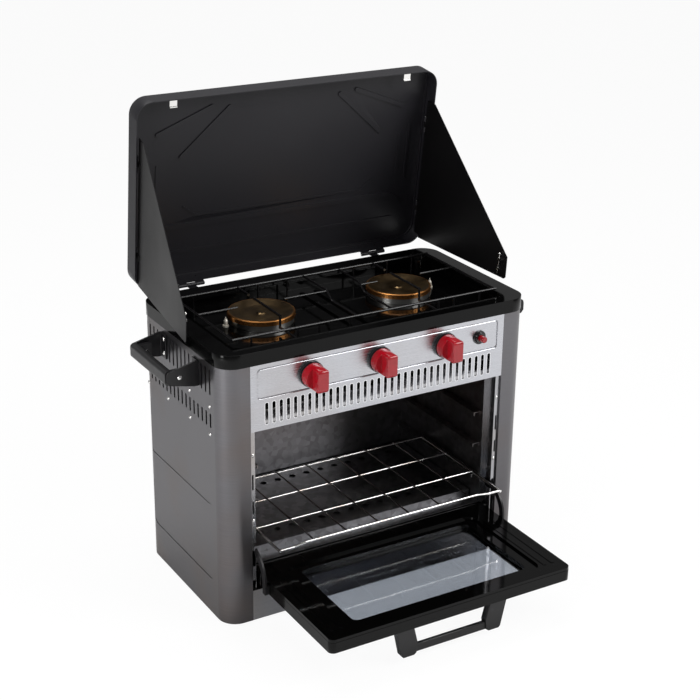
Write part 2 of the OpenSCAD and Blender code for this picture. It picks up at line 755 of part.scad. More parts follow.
module handle_brackets() {
    color("#191919") for (sx = [-1, 1], sy = [-1, 1]) mirror([sx > 0 ? 0 : 1, 0, 0]) mirror([0, sy > 0 ? 0 : 1, 0])
        difference() {
            union() {
                translate([0, bracket_y + bracket_t, 0]) rotate([90, 0, 0]) linear_extrude(bracket_t)
                    polygon([[half_w + gap, 371], [half_w + gap, 410.5], [half_w + 6, 410.5], [grip_x + 2, 400],
                        [grip_x + 5, 396], [grip_x + 5, 384], [grip_x + 1, 379], [half_w + 8, 371]]);
                block([half_w + gap, bracket_y - 16, 371], [half_w + gap + 2, bracket_y + eps, 410.5]);
            }
            for (z = bracket_bolts) rod_x(half_w - 1, half_w + 6, bracket_y - 9, z, screw_r);
            rod_y(half_w + 30, bracket_y - 5, bracket_y + 6, 389, screw_r);
        }
}

module handle_grips() {
    color("#101010") for (sx = [-1, 1]) mirror([sx > 0 ? 0 : 1, 0, 0]) difference() {
        union() {
            plate_xz(-bracket_y + 0.2, bracket_y - 0.2)
                translate([grip_x, 390]) rounded_rect(13, 22, 5);
            for (sy = [-1, 1])
                block([half_w + 22, sy > 0 ? bracket_y - 10 : -bracket_y + 0.2, 380],
                    [grip_x, sy > 0 ? bracket_y - 0.2 : -bracket_y + 10, 399]);
        }
        for (sy = [-1, 1]) rod_y(half_w + 30, sy * bracket_y - 12, sy * bracket_y + 12, 389, screw_r - 0.1);
    }
}

module handle_screws() {
    color("#d0d0d0") for (sx = [-1, 1], sy = [-1, 1]) mirror([sx > 0 ? 0 : 1, 0, 0]) mirror([0, sy > 0 ? 0 : 1, 0]) {
        for (z = bracket_bolts) {
            rod_x(half_w - sheet - 2, half_w + gap + 2 + eps, bracket_y - 9, z, screw_r - 0.05);
            translate([half_w + gap + 2 + eps, bracket_y - 9, z]) rotate([0, 90, 0]) dome(3.6, 2);
        }
        rod_y(half_w + 30, bracket_y - 8, bracket_y + bracket_t + eps, 389, screw_r - 0.15);
        translate([half_w + 30, bracket_y + bracket_t + eps, 389]) rotate([-90, 0, 0]) dome(3.6, 2);
    }
}

// door, drawn open

module door_plan(w, y0, y1, r) {
    translate([0, (y0 + y1) / 2]) rounded_rect(w, y1 - y0, r);
}

module door_outer_panel() {
    color("#161616") difference() {
        translate([0, 0, door_low]) linear_extrude(door_thickness - 5) door_plan(door_width, door_front, door_rear, 9);
        translate([0, 0, door_low + door_wall]) linear_extrude(door_thickness)
            door_plan(door_width - 2 * door_wall, door_front + door_wall, door_rear - door_wall, 7.5);
        // window
        translate([0, 0, door_low - 1]) linear_extrude(door_thickness) door_plan(2 * window_half, window_front, window_rear, 10);
        rod_x(-door_width, door_width, pin_y, pin_z, hinge_pin_r + run_fit);
        for (s = [-1, 1]) rod_z(s * 82, handle_y, door_low - 2, door_low + 4, 2.2);
    }
}

module door_inner_liner() {
    lip = 4.6;
    color("#121212") difference() {
        union() {
            // face sheet with a turned-down rim that sits on the outer pan
            translate([0, 0, door_top - lip]) linear_extrude(lip) difference() {
                door_plan(door_width - 0.4, door_front + 0.2, door_rear - 0.2, 9);
                door_plan(door_width - 0.4 - 2 * door_wall, door_front + 0.2 + door_wall, door_rear - 0.2 - door_wall, 7.5);
            }
            translate([0, 0, door_top - 1.4]) linear_extrude(1.4) difference() {
                door_plan(door_width - 0.4, door_front + 0.2, door_rear - 0.2, 9);
                door_plan(2 * window_half + 36, window_front - 14, window_rear + 14, 15);
            }
            // two pressed ridges along each side
            for (s = [-1, 1], x = [179, 193])
                translate([0, 0, door_top - eps]) linear_extrude(0.8) rib_2d([s * x, door_front + 26], [s * x, door_rear - 48], 6);
            // stepped frame down to the glass
            translate([0, 0, door_top - 5]) linear_extrude(5) difference() {
                door_plan(2 * window_half + 38.8, window_front - 15.4, window_rear + 15.4, 16.4);
                door_plan(2 * window_half + 36, window_front - 14, window_rear + 14, 15);
            }
            translate([0, 0, door_top - 5]) linear_extrude(1.4) difference() {
                door_plan(2 * window_half + 38.8, window_front - 15.4, window_rear + 15.4, 16.4);
                door_plan(2 * window_half, window_front, window_rear, 10);
            }
            translate([0, 0, door_top - 9.4]) linear_extrude(5.6) difference() {
                door_plan(2 * window_half + 2.8, window_front - 1.4, window_rear + 1.4, 11.4);
                door_plan(2 * window_half, window_front, window_rear, 10);
            }
        }
        rod_x(-door_width, door_width, pin_y, pin_z, hinge_pin_r + 1);
    }
}

module door_inner_glass() {
    color("#9fb0b8") translate([0, 0, door_top - 9.7 - glass_t]) linear_extrude(glass_t)
        door_plan(2 * window_half + 16, window_front - 8, window_rear + 8, 12);
}

module door_outer_glass() {
    color("#8fa0a8") translate([0, 0, door_low + door_wall + gap]) linear_extrude(glass_t)
        door_plan(2 * window_half + 16, window_front - 8, window_rear + 8, 12);
}

module door_glass_seal() {
    z0 = door_low + door_wall + 2 * gap + glass_t;
    color("#262626") translate([0, 0, z0]) linear_extrude(door_top - 9.7 - glass_t - gap - z0) difference() {
        door_plan(2 * window_half + 16, window_front - 8, window_rear + 8, 12);
        door_plan(2 * window_half + 6, window_front - 3, window_rear + 3, 11);
    }
}

module door_arms() {
    foot_top = -3;                // the curved part starts here, measured from the pin
    color("#111111") for (s = [-1, 1]) mirror([s > 0 ? 0 : 1, 0, 0]) {
        translate([arm_x, pin_y, pin_z]) rotate([90, 0, 90]) linear_extrude(arm_t) intersection() {
            difference() {
                circle(r = arm_out, $fn = 96);
                circle(r = arm_in, $fn = 96);
            }
            polygon([[0, 0], [2 * arm_out * cos(arm_start), 2 * arm_out * sin(arm_start)],
                [-2 * arm_out, 2 * arm_out], [-2 * arm_out, foot_top], [0, foot_top]]);
        }
        // foot of the arm, fastened to the side of the door
        block([door_width / 2 + 0.1, pin_y - arm_out + 0.6, door_low + 1],
            [arm_x + arm_t - 0.1, pin_y - arm_in - 0.6, pin_z + foot_top + 1.5]);
    }
}

module door_brackets() {
    color("#2b2b2b") for (s = [-1, 1]) mirror([s > 0 ? 0 : 1, 0, 0]) difference() {
        union() {
            block([jamb_x + liner_t + 0.2, pin_y - 10, pin_z - 12], [jamb_x + liner_t + 2.7, pin_y + 34, pin_z + 12]);
            block([jamb_x + liner_t + 0.2, pin_y + 31.5, 16], [jamb_x + liner_t + 22, pin_y + 34, pin_z + 12]);
            block([jamb_x + liner_t + 0.2, pin_y + 31.5, foot_gap + gap + sheet], [jamb_x + liner_t + 22, pin_y + 46, 8]);
            block([jamb_x + liner_t + 0.2, pin_y + 31.5, foot_gap + gap + sheet], [jamb_x + liner_t + 22, pin_y + 34, 20]);
        }
        rod_x(jamb_x - 2, jamb_x + 8, pin_y, pin_z, hinge_pin_r + 0.02);
    }
}

module door_pins() {
    color("#c4c4c4") for (s = [-1, 1]) mirror([s > 0 ? 0 : 1, 0, 0]) {
        rod_x(door_width / 2 - 6, jamb_x + liner_t + 2.7, pin_y, pin_z, hinge_pin_r);
    }
}

module door_handle() {
    tip_z = door_low - handle_standoff;
    color("#151515") union() {
        for (s = [-1, 1]) mirror([s > 0 ? 0 : 1, 0, 0])
            difference() {
                translate([0, handle_y + 6, 0]) rotate([90, 0, 0]) linear_extrude(12)
                    polygon([[68, door_low - 0.2], [97, door_low - 0.2], [87, tip_z + 3], [84, tip_z], [66, tip_z],
                        [62, tip_z + 3], [60, tip_z + 18]]);
                rod_z(82, handle_y, tip_z + 10, door_low + 1, 2);
            }
        translate([0, handle_y, tip_z + 8.5]) rotate([90, 0, 90]) linear_extrude(126, center = true) rounded_rect(7, 14, 2.5);
    }
}

module door_handle_screws() {
    color("#c0c0c0") for (s = [-1, 1]) {
        rod_z(s * 82, handle_y, door_low - 22, door_low + door_wall + 2 * eps, 1.9);
        translate([s * 82, handle_y, door_low + door_wall + 2 * eps]) dome(3.8, 2.2);
    }
}

// lid

module lid_outline(w, l, r) {
    translate([0, lid_length / 2]) rounded_rect(w, l, r);
}

// plate in the plane of the lid between two depths
module lid_layer(v0, v1) {
    translate([0, v1, 0]) rotate([90, 0, 0]) linear_extrude(v1 - v0) children();
}

// long rib with round ends
module rib_2d(a, b, w) {
    d = b - a;
    translate(a) rotate(atan2(d[1], d[0])) {
        translate([0, -w / 2]) square([norm(d), w]);
        circle(r = w / 2, $fn = 24);
        translate([norm(d), 0]) circle(r = w / 2, $fn = 24);
    }
}

module lid_shell() {
    inner_v = lid_depth - lid_wall;
    color("#1d1d1f") on_lid() difference() {
        union() {
            difference() {
                lid_layer(0, lid_depth) lid_outline(2 * lid_half, lid_length, 26);
                lid_layer(-1, lid_depth - 4.4) lid_outline(2 * lid_half - 2 * lid_wall, lid_length - 2 * lid_wall, 26 - lid_wall);
                lid_layer(-1, inner_v) lid_outline(2 * lid_half - 2 * lid_wall - 5, lid_length - 2 * lid_wall - 5, 22);
            }
            // pressed ribs on the inner face
            for (s = [-1, 1]) mirror([s > 0 ? 0 : 1, 0, 0]) {
                lid_layer(inner_v - 2.2, inner_v + eps) rib_2d([218, 242], [128, 278], 7);
                lid_layer(inner_v - 2.2, inner_v + eps) rib_2d([178, 202], [98, 274], 7);
            }
            lid_layer(inner_v - 2.2, inner_v + eps) rib_2d([-205, 86], [205, 86], 8);
            lid_layer(inner_v - 2.2, inner_v + eps) rib_2d([-225, 74], [-205, 86], 8);
            lid_layer(inner_v - 2.2, inner_v + eps) rib_2d([225, 74], [205, 86], 8);
            lid_layer(inner_v - 1.6, inner_v + eps) rib_2d([-215, 42], [215, 42], 6);
            // fine creases: open trapezoid over the long rib, upright pair at each side
            for (s = [-1, 1]) {
                lid_layer(inner_v - 1, inner_v + eps) rib_2d([s * 150, 101], [s * 172, 118], 3);
                lid_layer(inner_v - 1, inner_v + eps) rib_2d([s * 236, 112], [s * 236, 208], 5);
                lid_layer(inner_v - 1, inner_v + eps) rib_2d([s * 218, 124], [s * 218, 190], 5);
            }
            lid_layer(inner_v - 1, inner_v + eps) rib_2d([-150, 101], [150, 101], 3);
        }
        for (s = [-1, 1], x = [-14, 14])
            translate([s * hinge_x + x, 14, -1]) cylinder(r = 1.6, h = 4, $fn = 24);
    }
}

// hinge halves on the lid; knuckles at both ends of each hinge
module lid_hinge_leaves() {
    color("#202020") on_lid() for (s = [-1, 1]) translate([s * hinge_x, 0, 0]) difference() {
        union() {
            block([-hinge_w / 2, lid_pin_v, lid_pin_u + barrel_r - leaf_t], [hinge_w / 2, 22, -0.3]);
            for (t = [-1, 1]) rod_x(t > 0 ? hinge_w / 6 : -hinge_w / 2, t > 0 ? hinge_w / 2 : -hinge_w / 6, lid_pin_v, lid_pin_u, barrel_r);
        }
        block([-hinge_w / 6 - gap, lid_pin_v - barrel_r - 1, lid_pin_u - barrel_r - 1],
            [hinge_w / 6 + gap, lid_pin_v + barrel_r + 0.6, 0]);
        rod_x(-hinge_w, hinge_w, lid_pin_v, lid_pin_u, lid_pin_r + run_fit);
        for (x = [-14, 14]) translate([x, 14, -6]) cylinder(r = 1.6, h = 8, $fn = 24);
    }
}

module body_hinge_leaves() {
    py = half_d + 1;
    color("#202020") for (s = [-1, 1]) translate([s * hinge_x, 0, 0]) difference() {
        union() {
            rod_x(-hinge_w / 6 + gap, hinge_w / 6 - gap, lid_pin_y, lid_pin_z, barrel_r);
            block([-hinge_w / 6 + gap, py + gap, lid_pin_z - barrel_r], [hinge_w / 6 - gap, lid_pin_y, lid_pin_z - barrel_r + leaf_t]);
            block([-hinge_w / 2, py + gap, band_z + 2], [hinge_w / 2, py + gap + leaf_t, lid_pin_z - barrel_r + leaf_t]);
        }
        rod_x(-hinge_w, hinge_w, lid_pin_y, lid_pin_z, lid_pin_r + run_fit);
        for (x = [-14, 14]) rod_y(x, py - 1, py + 4, band_z + 8, 1.6);
    }
}

module lid_hinge_pins() {
    color("#c6c6c6") for (s = [-1, 1]) {
        rod_x(s * hinge_x - hinge_w / 2 - 1, s * hinge_x + hinge_w / 2 + 1, lid_pin_y, lid_pin_z, lid_pin_r);
    }
}

module lid_catches() {
    color("#d2d2d2") on_lid() for (x = [-205, 205]) {
        block([x - 6, 1, lid_length - lid_wall - 11], [x + 6, 2.2, lid_length - lid_wall - 0.2]);
        block([x - 6, 1, lid_length - lid_wall - 1.4], [x + 6, 12, lid_length - lid_wall - 0.2]);
        block([x - 6, -0.5, lid_length - lid_wall - 11], [x + 6, 2.2, lid_length - lid_wall - 9.6]);
    }
}

// windscreens

// blade drawn in lid coordinates with the pin at the origin, standing straight out of the lid
module ws_blade(v) {
    rotate([90, 0, -90]) linear_extrude(ws_t) polygon([[2, ws_low + 8], [v + 2, ws_low + 8], [v + 2, ws_low + 2.5],
        [262, 44], [266, 48], [264, 82], [24, ws_top], [2, ws_top]]);
}

module ws_body(v) {
    difference() {
        union() {
            ws_blade(v);
            for (z = ws_hinges) {
                translate([0, 0, z + ws_hinge_h / 3 + gap]) cylinder(r = ws_barrel, h = ws_hinge_h / 3 - 2 * gap, $fn = fine);
                block([-ws_t, -16, z + ws_hinge_h / 3 + gap], [0.9, 0, z + 2 * ws_hinge_h / 3 - gap]);
            }
        }
        for (z = ws_hinges) {
            translate([0, 0, z - 1]) cylinder(r = ws_pin + run_fit, h = ws_hinge_h + 2, $fn = fine);
            // room for the outer knuckles
            translate([0, 0, z - gap]) cylinder(r = ws_barrel + gap, h = ws_hinge_h / 3 + 2 * gap, $fn = fine);
            translate([0, 0, z + 2 * ws_hinge_h / 3 - gap]) cylinder(r = ws_barrel + gap, h = ws_hinge_h / 3 + 2 * gap, $fn = fine);
        }
    }
}

// moves pin coordinates to the left or right wall of the lid
module ws_place(side) {
    on_lid() translate([side * ws_pin_x, side > 0 ? ws_right_v : ws_left_v, 0]) children();
}

module left_windscreen() {
    color("#1c1c1e") ws_place(-1) rotate([0, 0, -left_splay]) mirror([1, 0, 0]) ws_body(ws_left_v);
}

module right_windscreen() {
    color("#1c1c1e") ws_place(1) ws_body(ws_right_v);
}

module ws_leaves(side) {
    v = side > 0 ? ws_right_v : ws_left_v;
    wall = lid_half - lid_wall - gap - ws_pin_x;
    ws_place(side) mirror([side > 0 ? 0 : 1, 0, 0]) for (z = ws_hinges) difference() {
        union() {
            for (t = [0, 2]) {
                translate([0, 0, z + t * ws_hinge_h / 3 + (t > 0 ? gap : 0)]) cylinder(r = ws_barrel, h = ws_hinge_h / 3 - gap, $fn = fine);
                block([0, -0.6, z + t * ws_hinge_h / 3 + (t > 0 ? gap : 0)], [wall, 0.6, z + (t + 1) * ws_hinge_h / 3 - (t > 0 ? 0 : gap)]);
            }
            block([wall - 1.2, -0.6, z], [wall, 11, z + ws_hinge_h]);
        }
        translate([0, 0, z - 1]) cylinder(r = ws_pin + run_fit, h = ws_hinge_h + 2, $fn = fine);
    }
}

module windscreen_leaves() {
    color("#242426") for (side = [-1, 1]) ws_leaves(side);
}

module windscreen_pins() {
    color("#c8c8c8") for (side = [-1, 1]) ws_place(side) for (z = ws_hinges)
        translate([0, 0, z - 0.6]) cylinder(r = ws_pin, h = ws_hinge_h + 1.2, $fn = fine);
}

// wire stay with a ball end, clipped to the inner face near the front corner
module stay() {
    x = -ws_t - 2.7;
    rod_z(x, -248, 47, 81, 1.1);
    translate([x, -248, 82]) sphere(r = 2.4, $fn = 32);
    for (z = [54, 70]) difference() {
        block([-ws_t - 4.3, -250.6, z], [-ws_t - 0.01, -245.4, z + 5]);
        translate([x, -248, z - 1]) cylinder(r = 1.14, h = 8, $fn = 24);
    }
}

module left_stay() {
    color("#cfcfcf") ws_place(-1) rotate([0, 0, -left_splay]) mirror([1, 0, 0]) stay();
}

module right_stay() {
    color("#cfcfcf") ws_place(1) stay();
}

placed() left_side_panel();
placed() right_side_panel();
placed() back_panel();
placed() base_pan();
placed() rubber_feet();
placed() front_sill();
placed() oven_front_frame();
placed() frame_rivets();
placed() side_rivets();
placed() control_panel();
placed() knob_bezels();
placed() knob(knob_xs[0]);  // knob_left
placed() knob(knob_xs[1]);  // knob_middle
placed() knob(knob_xs[2]);  // knob_right
placed() stem(knob_xs[0]);  // stem_left
placed() stem(knob_xs[1]);  // stem_middle
placed() stem(knob_xs[2]);  // stem_right
placed() igniter_bezel();
placed() igniter_button();
placed() igniter_body();
placed() valve_bodies();
placed() gas_manifold();
placed() gas_inlet();
placed() oven_liner();
placed() rack_ledges();
placed() oven_floor_plate();
placed() oven_burner();
placed() oven_rack();
placed() cooktop();
placed() burner_bowls();
placed() burner_tubes();
placed() burner_caps();
placed() electrodes();
placed() grate();
placed() handle_brackets();
placed() handle_grips();
placed() handle_screws();
placed() door_outer_panel();
placed() door_inner_liner();
placed() door_inner_glass();
placed() door_outer_glass();
placed() door_glass_seal();
placed() door_arms();
placed() door_brackets();
placed() door_pins();
placed() door_handle();
placed() door_handle_screws();
placed() lid_shell();
placed() lid_hinge_leaves();
placed() body_hinge_leaves();
placed() lid_hinge_pins();
placed() lid_catches();
placed() left_windscreen();
placed() right_windscreen();
placed() windscreen_leaves();
placed() windscreen_pins();
placed() left_stay();
placed() right_stay();
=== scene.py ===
# Finishes, soft edges, floor, light and camera for a two-burner folding camp oven.
import bpy
import math
from mathutils import Matrix, Vector


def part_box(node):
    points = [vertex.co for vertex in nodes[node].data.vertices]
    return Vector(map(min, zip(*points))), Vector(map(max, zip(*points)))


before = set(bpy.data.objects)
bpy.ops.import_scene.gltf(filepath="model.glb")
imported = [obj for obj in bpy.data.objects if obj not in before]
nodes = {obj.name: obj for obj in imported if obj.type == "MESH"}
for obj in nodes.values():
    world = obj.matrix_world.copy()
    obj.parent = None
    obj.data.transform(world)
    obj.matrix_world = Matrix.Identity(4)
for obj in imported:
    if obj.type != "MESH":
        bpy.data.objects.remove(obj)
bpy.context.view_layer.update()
print("frame loaded:", len(nodes), "nodes")

noiseSpan = {"From Min": 0.3, "From Max": 0.7}     # where most values of a noise lie
patchSpan = {"From Min": 0.5, "From Max": 0.75}    # its peaks alone, as scattered patches


def mm(value):
    return value / 1000


def perMetre(size):  # texture scale for a pattern that repeats about every size in mm
    return 1000 / size


def linear(hexColour):  # sRGB hex to the linear colour that Blender works in
    parts = [int(hexColour[i:i + 2], 16) / 255 for i in (1, 3, 5)]
    return tuple(p / 12.92 if p <= 0.04045 else ((p + 0.055) / 1.055) ** 2.4 for p in parts) + (1.0,)


def addNode(tree, kind, inputs=None, **settings):  # inputs: a value, a socket or a node for each socket
    node = tree.nodes.new(kind)
    for name, value in settings.items():
        setattr(node, name, value)
    for name, value in (inputs or {}).items():
        if isinstance(value, bpy.types.Node):
            value = value.outputs[0]
        if isinstance(value, bpy.types.NodeSocket):
            tree.links.new(value, node.inputs[name])
        else:
            node.inputs[name].default_value = value
    return node


def startMaterial(name):
    material = bpy.data.materials.new(name)
    material.use_nodes = True
    material.node_tree.nodes.clear()
    place = addNode(material.node_tree, "ShaderNodeTexCoord").outputs["Object"]
    return material, material.node_tree, place


def finishMaterial(material, sockets):
    shader = addNode(material.node_tree, "ShaderNodeBsdfPrincipled", sockets)
    addNode(material.node_tree, "ShaderNodeOutputMaterial", {"Surface": shader})
    return material


def setSlots(names, material):
    for name in names:
        slots = nodes[name].data.materials
        slots.clear()
        slots.append(material)


# Camera
view = {
    "place": (-1.12169, -1.85113, 1.25685),    # m
    "yaw": 30.746,     # degrees turned to the right of straight ahead
    "pitch": 22.058,   # degrees tipped down
    "roll": 0.729,
    "lens": 78.89,     # mm
    "sensor": 36,      # mm
    "farthest": 50,    # m
}


def makeCamera():
    yaw, pitch, roll = (math.radians(view[k]) for k in ("yaw", "pitch", "roll"))
    ahead = Vector((math.sin(yaw) * math.cos(pitch), math.cos(yaw) * math.cos(pitch), -math.sin(pitch)))
    level = Vector((math.cos(yaw), -math.sin(yaw), 0))
    upright = level.cross(ahead)
    right = level * math.cos(roll) + upright * math.sin(roll)
    up = upright * math.cos(roll) - level * math.sin(roll)
    turn = Matrix((right, up, -ahead)).transposed().to_4x4()
    data = bpy.data.cameras.new("photoCamera")
    data.lens = view["lens"]
    data.sensor_width = view["sensor"]
    data.clip_end = view["farthest"]
    camera = bpy.data.objects.new("photoCamera", data)
    camera.matrix_world = Matrix.Translation(view["place"]) @ turn
    bpy.context.scene.collection.objects.link(camera)
    bpy.context.scene.camera = camera


makeCamera()
print("camera placed")

# Side panels: ferritic stainless sheet, cold rolled and ground along its length to a dull satin.
# To the eye: soft mid grey, hardly any sparkle, fine level scratches, a little darker near the floor: that
# darkening is painted shade.
sidePanel = {
    # upper and lower: one sheet colour, lighter at the top and darker at the floor as painted shade
    "upperLit": "#6e6d70",
    "lower": "#5c5a5c",
    "shadeFade": 420,           # mm above the floor at which the upper colour is reached; the fade from lower to upper is painted shade
    "reflectionTint": "#665c57",     # painted reflection: a faint warm tint for the soft boxes seen in the bent corners, scattered as patches over the sheet
    "reflectionTintShare": 0.55,
    "reflectionTintSize": 111,       # mm
    "roughness": 0.34,
    "sheen": 0.05,         # how far the roughness swings from line to line
    "streaks": (0.9, 1.06),
    "grainLength": 60,     # mm along the grinding lines
    "grainWidth": 0.7,     # mm; real lines are finer, drawn coarse enough to show
    "grainDepth": 0.3,     # mm
}


def slotHighlightMask(tree, place, row):  # 1 on the painted highlight rings round a row of upright slots, 0 elsewhere
    split = addNode(tree, "ShaderNodeSeparateXYZ", {"Vector": place})
    halfPitch = mm(row["pitch"]) / 2
    shifted = addNode(tree, "ShaderNodeMath", {0: split.outputs["X"], 1: halfPitch}, operation="ADD")
    across = addNode(tree, "ShaderNodeMath", {0: shifted, 1: halfPitch, 2: -halfPitch}, operation="WRAP")
    up = addNode(tree, "ShaderNodeMath", {0: split.outputs["Z"], 1: mm(row["middle"])}, operation="SUBTRACT")
    folded = addNode(tree, "ShaderNodeMath", {0: up}, operation="ABSOLUTE")
    straight = mm(row["height"] - row["width"]) / 2
    beyond = addNode(tree, "ShaderNodeMath", {0: folded, 1: straight}, operation="SUBTRACT")
    above = addNode(tree, "ShaderNodeMath", {0: beyond, 1: 0.0}, operation="MAXIMUM")
    flat = addNode(tree, "ShaderNodeCombineXYZ", {"X": across, "Y": above})
    reach = addNode(tree, "ShaderNodeVectorMath", {0: flat}, operation="LENGTH").outputs["Value"]
    innerEdge, outerEdge = (mm(row["width"] / 2 + edge) for edge in row["rimFromTo"])
    rim = addNode(tree, "ShaderNodeMapRange", {"Value": reach, "From Min": outerEdge, "From Max": innerEdge},
                  interpolation_type="SMOOTHSTEP")
    side = addNode(tree, "ShaderNodeMath", {0: split.outputs["X"]}, operation="ABSOLUTE")
    within = addNode(tree, "ShaderNodeMath", {0: side, 1: mm(row["halfRow"])}, operation="LESS_THAN")
    return addNode(tree, "ShaderNodeMath", {0: rim, 1: within}, operation="MULTIPLY")


def pressedLine(tree, place, field):  # 1 on a rounded outline in the front plane, 0 beside it
    corner = mm(field["corner"])
    inner = (mm(field["halfWidth"]) - corner, mm(field["halfHeight"]) - corner, 0)
    split = addNode(tree, "ShaderNodeSeparateXYZ", {"Vector": place})
    up = addNode(tree, "ShaderNodeMath",
                 {0: split.outputs["Z"], 1: mm(field["middle"])}, operation="SUBTRACT")
    flat = addNode(tree, "ShaderNodeCombineXYZ", {"X": split.outputs["X"], "Y": up})
    folded = addNode(tree, "ShaderNodeVectorMath", {0: flat}, operation="ABSOLUTE")
    past = addNode(tree, "ShaderNodeVectorMath", {0: folded, 1: inner}, operation="SUBTRACT")
    outside = addNode(tree, "ShaderNodeVectorMath", {0: past, 1: (0, 0, 0)}, operation="MAXIMUM")
    reach = addNode(tree, "ShaderNodeVectorMath", {0: outside}, operation="LENGTH").outputs["Value"]
    gap = addNode(tree, "ShaderNodeMath", {0: reach, 1: corner}, operation="SUBTRACT")
    near = addNode(tree, "ShaderNodeMath", {0: gap}, operation="ABSOLUTE")
    return addNode(tree, "ShaderNodeMapRange",
                   {"Value": near, "From Max": mm(field["line"]), "To Min": 1.0, "To Max": 0.0},
                   interpolation_type="SMOOTHSTEP")


def groundSteel(name, piece):
    material, tree, place = startMaterial(name)
    along, across = perMetre(piece["grainLength"]), perMetre(piece["grainWidth"])
    stretched = addNode(tree, "ShaderNodeMapping", {"Vector": place, "Scale": (along, along, across)})
    lines = addNode(tree, "ShaderNodeTexNoise", {"Vector": stretched, "Scale": 1.0, "Detail": 3.0})
    clouds = addNode(tree, "ShaderNodeTexNoise",
                     {"Vector": place, "Scale": perMetre(piece["reflectionTintSize"]), "Detail": 2.0})
    split = addNode(tree, "ShaderNodeSeparateXYZ", {"Vector": place})
    # painted shade: the colour fades from the lower colour at the floor to the upper colour higher up
    height = addNode(tree, "ShaderNodeMapRange", {"Value": split.outputs["Z"], "From Max": mm(piece["shadeFade"])})
    shadedTone = addNode(tree, "ShaderNodeMix",
                   {"Factor": height, 6: linear(piece["lower"]), 7: linear(piece["upperLit"])},
                   data_type="RGBA")
    # painted reflection: warm patches mixed into the sheet colour
    reflectionTintAmount = addNode(tree, "ShaderNodeMapRange", {"Value": clouds, "To Max": piece["reflectionTintShare"], **patchSpan})
    reflectionTinted = addNode(tree, "ShaderNodeMix", {"Factor": reflectionTintAmount, 6: shadedTone.outputs[2], 7: linear(piece["reflectionTint"])},
                     data_type="RGBA")
    dull, lit = piece["streaks"]
    streaks = addNode(tree, "ShaderNodeMapRange",
                      {"Value": lines, "To Min": dull, "To Max": lit, **noiseSpan})
    colour = addNode(tree, "ShaderNodeVectorMath",
                     {0: reflectionTinted.outputs[2], "Scale": streaks}, operation="SCALE")
    smooth, coarse = piece["roughness"] - piece["sheen"], piece["roughness"] + piece["sheen"]
    rough = addNode(tree, "ShaderNodeMapRange",
                    {"Value": lines, "To Min": smooth, "To Max": coarse, **noiseSpan})
    normal = addNode(tree, "ShaderNodeBump",
                     {"Strength": 0.12, "Distance": mm(piece["grainDepth"]), "Height": lines})
    if "slots" in piece:
        # painted highlight: a bright ring round every slot
        rims = slotHighlightMask(tree, place, piece["slots"])
        colour = addNode(tree, "ShaderNodeMix",
                         {"Factor": rims, 6: colour.outputs[0], 7: linear(piece["rim"])},
                         data_type="RGBA").outputs[2]
    if "field" in piece:
        line = pressedLine(tree, place, piece["field"])
        depth = mm(piece["field"]["depth"])
        normal = addNode(tree, "ShaderNodeBump",
                         {"Strength": 1.0, "Distance": depth, "Height": line, "Normal": normal},
                         invert=True)
    return finishMaterial(material,
                          {"Base Color": colour, "Metallic": 1.0, "Roughness": rough, "Normal": normal})


setSlots(["left_side_panel", "right_side_panel"], groundSteel("ground_ferritic_steel_side", sidePanel))

# Control panel, sill and inner frame: the same sheet with a brighter brushed face.
# To the eye: light silver grey with level brush lines that catch the studio as soft streaks.
brushedSheet = dict(sidePanel, grainLength=80, grainWidth=0.6)
slotRow = {  # mm
    "pitch": 11.8,
    "halfRow": 200.6,      # half the length of the whole row
    "middle": 341.2,       # height of the slots' middles above the floor
    "height": 34,
    "width": 5.4,
    "rimFromTo": (0.3, 1.2),    # painted highlight round each slot, where its pressed edge catches the light, measured from the slot
}
pressedField = {  # mm
    "middle": 388.4,
    "halfWidth": 209,
    "halfHeight": 22.7,
    "corner": 5,
    "line": 1.5,
    "depth": 0.6,
}
# the rim colour is a painted highlight round the slots
# the upper and lower colours of these sheets are painted shade as well
# the warm tints of these sheets are painted reflection as well
frontPanel = dict(brushedSheet, upperLit="#b9babf", lower="#aeafb4", reflectionTint="#a9a4a4", rim="#f0f0f2",
                  roughness=0.28, sheen=0.06, slots=slotRow, field=pressedField)
frameSheet = dict(brushedSheet, upperLit="#a5a5a8", lower="#98989b", reflectionTint="#94897f", roughness=0.22)
setSlots(["control_panel"], groundSteel("brushed_stainless_panel", frontPanel))
setSlots(["front_sill", "oven_front_frame"], groundSteel("brushed_stainless_frame", frameSheet))

# Hidden and inner sheets: hot-dip aluminised steel.
# To the eye: pale grey with a faint cloudy spangle; browned towards the roof of the oven, partly by heat and
# partly as painted reflection of the warm light inside.
innerSheet = {
    "sheet": "#8f8f91",
    "dark": "#6f6e70",
    # the brown below is heat browning and partly a painted reflection of the oven's warm inside
    "highTint": "#6a4a36",
    "highTintFromTo": (100, 340),    # mm above the floor
    "smoke": 71.4,       # mm across one brown cloud
    "spangle": 9,        # mm across one crystal
    "roughness": 0.3,
}
outerSheet = dict(innerSheet, highTint="#7b7a7a", highTintFromTo=(0, 400))    # never hot, only dulled


